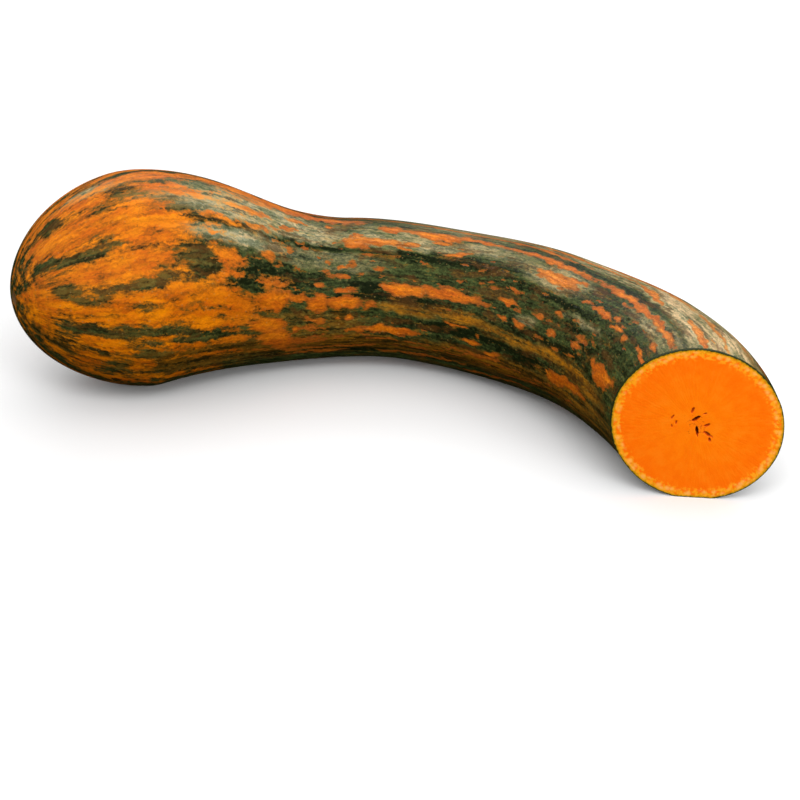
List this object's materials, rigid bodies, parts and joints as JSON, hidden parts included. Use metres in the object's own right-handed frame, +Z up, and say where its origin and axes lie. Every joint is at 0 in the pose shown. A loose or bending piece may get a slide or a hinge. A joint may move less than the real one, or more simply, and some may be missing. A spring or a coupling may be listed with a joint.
{
  "type": "long neck pumpkin with a cut end",
  "caption": "Long curved pumpkin lying on its side, with a round bulb at one end and a flat cut face at the end of its bent neck.",
  "frame": {"origin": "middle of the base of the bounding box, on the surface that the pumpkin lies on", "axes": "+X along the pumpkin's longest extent, from the bulb's blossom end towards the bent neck; -Y is the side that the neck bends to and the cut face looks to; +Z is up"},
  "size_m": [0.484, 0.2544, 0.1424],
  "materials": {
    "rind": "waxy satin rind, dark green with orange streaks"
  },
  "bodies": {
    "root": {"pumpkin": "rind"}
  },
  "joints": []
}
